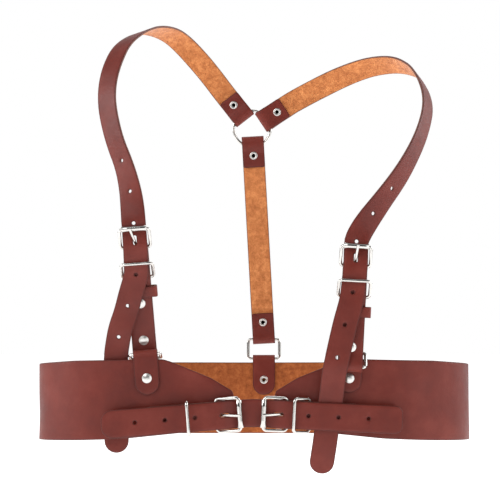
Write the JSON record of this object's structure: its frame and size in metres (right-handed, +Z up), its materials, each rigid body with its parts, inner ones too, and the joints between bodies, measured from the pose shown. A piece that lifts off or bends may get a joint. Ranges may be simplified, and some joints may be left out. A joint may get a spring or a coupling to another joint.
{
  "type": "leather body harness",
  "caption": "Waist belt harness in leather with roller buckles, shoulder straps, back strap and ring joints, shaped as worn.",
  "frame": {"origin": "centre of the waist loop at the belt's mid height", "axes": "+X to the viewer's right when the harness is seen from the front, -Y towards the front with the two belt buckles, +Z up through the wearer"},
  "size_m": [0.4066, 0.1594, 0.4231],
  "materials": {
    "belt_leather": "smooth reddish-brown grain, tan suede inside",
    "strap_leather": "smooth reddish-brown grain, tan suede inside",
    "nickel": "bright polished nickel plate"
  },
  "bodies": {
    "harness": {"back_strap": "strap_leather", "back_strap_rivets": "nickel", "back_tab": "strap_leather", "back_tab_rivet": "nickel", "belt_body": "belt_leather", "belt_chape_left": "strap_leather", "belt_chape_right": "strap_leather", "belt_chape_rivets": "nickel", "buckle_strap_left": "strap_leather", "buckle_strap_right": "strap_leather", "buckle_strap_rivets": "nickel", "closing_strap": "strap_leather", "front_tab_left": "strap_leather", "front_tab_right": "strap_leather", "front_tab_rivets": "nickel", "shoulder_strap_left": "strap_leather", "shoulder_strap_right": "strap_leather", "shoulder_strap_rivets": "nickel"},
    "shoulder_left_frame": {"shoulder_left_frame": "nickel"},
    "shoulder_left_roller": {"shoulder_left_roller": "nickel"},
    "shoulder_left_prong": {"shoulder_left_prong": "nickel"},
    "shoulder_left_keeper": {"shoulder_left_keeper": "nickel"},
    "shoulder_right_frame": {"shoulder_right_frame": "nickel"},
    "shoulder_right_roller": {"shoulder_right_roller": "nickel"},
    "shoulder_right_prong": {"shoulder_right_prong": "nickel"},
    "shoulder_right_keeper": {"shoulder_right_keeper": "nickel"},
    "belt_left_frame": {"belt_left_frame": "nickel"},
    "belt_left_roller": {"belt_left_roller": "nickel"},
    "belt_left_prong": {"belt_left_prong": "nickel"},
    "belt_left_keeper": {"belt_left_keeper": "nickel"},
    "belt_right_frame": {"belt_right_frame": "nickel"},
    "belt_right_roller": {"belt_right_roller": "nickel"},
    "belt_right_prong": {"belt_right_prong": "nickel"},
    "belt_right_keeper": {"belt_right_keeper": "nickel"},
    "leather_keeper_left": {"leather_keeper_left": "strap_leather"},
    "front_ring_left": {"front_ring_left": "nickel"},
    "leather_keeper_right": {"leather_keeper_right": "strap_leather"},
    "front_ring_right": {"front_ring_right": "nickel"},
    "back_ring": {"back_ring": "nickel"},
    "o_ring": {"o_ring": "nickel"}
  },
  "joints": [
    {"name": "shoulder_left_frame_tilt", "type": "hinge", "parent": "harness", "child": "shoulder_left_frame", "pos_m": [-0.107, -0.074, 0.143], "axis": [0.9973, 0, 0.0731], "range_deg": [0, 8]},
    {"name": "shoulder_left_roller_spin", "type": "hinge", "parent": "shoulder_left_frame", "child": "shoulder_left_roller", "pos_m": [-0.10821, -0.08215, 0.15949], "axis": [0.9973, 0, 0.0731], "continuous": true},
    {"name": "shoulder_left_prong_swing", "type": "hinge", "parent": "shoulder_left_frame", "child": "shoulder_left_prong", "pos_m": [-0.107, -0.074, 0.143], "axis": [0.9973, 0, 0.0731], "range_deg": [0, 25]},
    {"name": "shoulder_left_keeper_swing", "type": "hinge", "parent": "harness", "child": "shoulder_left_keeper", "pos_m": [-0.10505, -0.06748, 0.11636], "axis": [0.9973, 0, 0.0731], "range_deg": [0, 6]},
    {"name": "shoulder_right_frame_tilt", "type": "hinge", "parent": "harness", "child": "shoulder_right_frame", "pos_m": [0.091, -0.0764, 0.126], "axis": [0.9986, 0, -0.0529], "range_deg": [0, 8]},
    {"name": "shoulder_right_roller_spin", "type": "hinge", "parent": "shoulder_right_frame", "child": "shoulder_right_roller", "pos_m": [0.09195, -0.08044, 0.14397], "axis": [0.9986, 0, -0.0529], "continuous": true},
    {"name": "shoulder_right_prong_swing", "type": "hinge", "parent": "shoulder_right_frame", "child": "shoulder_right_prong", "pos_m": [0.091, -0.0764, 0.126], "axis": [0.9986, 0, -0.0529], "range_deg": [0, 25]},
    {"name": "shoulder_right_keeper_swing", "type": "hinge", "parent": "harness", "child": "shoulder_right_keeper", "pos_m": [0.08954, -0.07634, 0.09854], "axis": [0.9986, 0, -0.0529], "range_deg": [0, 45]},
    {"name": "belt_left_frame_tilt", "type": "hinge", "parent": "harness", "child": "belt_left_frame", "pos_m": [-0.034, -0.07045, -0.0085], "axis": [0.0797, 0, -0.9968], "range_deg": [0, 8]},
    {"name": "belt_left_roller_spin", "type": "hinge", "parent": "belt_left_frame", "child": "belt_left_roller", "pos_m": [-0.01307, -0.07445, -0.00683], "axis": [0.0797, 0, -0.9968], "continuous": true},
    {"name": "belt_left_prong_swing", "type": "hinge", "parent": "belt_left_frame", "child": "belt_left_prong", "pos_m": [-0.034, -0.07045, -0.0085], "axis": [0.0797, 0, -0.9968], "range_deg": [0, 25]},
    {"name": "belt_left_keeper_swing", "type": "hinge", "parent": "harness", "child": "belt_left_keeper", "pos_m": [-0.05992, -0.07045, -0.01057], "axis": [0.0797, 0, -0.9968], "range_deg": [-50, 50]},
    {"name": "belt_right_frame_tilt", "type": "hinge", "parent": "harness", "child": "belt_right_frame", "pos_m": [0.0295, -0.07045, -0.0075], "axis": [0.0469, 0, 0.9989], "range_deg": [0, 8]},
    {"name": "belt_right_roller_spin", "type": "hinge", "parent": "belt_right_frame", "child": "belt_right_roller", "pos_m": [0.00852, -0.07445, -0.00651], "axis": [0.0469, 0, 0.9989], "continuous": true},
    {"name": "belt_right_prong_swing", "type": "hinge", "parent": "belt_right_frame", "child": "belt_right_prong", "pos_m": [0.0295, -0.07045, -0.0075], "axis": [0.0469, 0, 0.9989], "range_deg": [0, 25]},
    {"name": "belt_right_keeper_swing", "type": "hinge", "parent": "harness", "child": "belt_right_keeper", "pos_m": [0.04978, -0.07045, -0.00845], "axis": [0.0469, 0, 0.9989], "range_deg": [0, 42]},
    {"name": "leather_keeper_left_slide", "type": "slide", "parent": "harness", "child": "leather_keeper_left", "axis": [-0.071, -0.237, 0.9689], "range_m": [0, 0.003]},
    {"name": "front_ring_left_rock", "type": "hinge", "parent": "harness", "child": "front_ring_left", "pos_m": [-0.0986, -0.0653, 0.0468], "axis": [0.9973, 0, 0.0731], "range_deg": [-2, 2]},
    {"name": "leather_keeper_right_slide", "type": "slide", "parent": "harness", "child": "leather_keeper_right", "axis": [0.0529, -0.0022, 0.9986], "range_m": [0, 0.003]},
    {"name": "front_ring_right_rock", "type": "hinge", "parent": "harness", "child": "front_ring_right", "pos_m": [0.0872, -0.0653, 0.0484], "axis": [0.9986, 0, -0.0529], "range_deg": [-2, 2]},
    {"name": "back_ring_rock", "type": "hinge", "parent": "harness", "child": "back_ring", "pos_m": [0.01, 0.0653, 0.0388], "axis": [1, 0, 0], "range_deg": [-2, 2]},
    {"name": "o_ring_spin", "type": "hinge", "parent": "harness", "child": "o_ring", "pos_m": [-0.0017, 0.066, 0.2685], "axis": [0, 1, 0], "continuous": true}
  ]
}
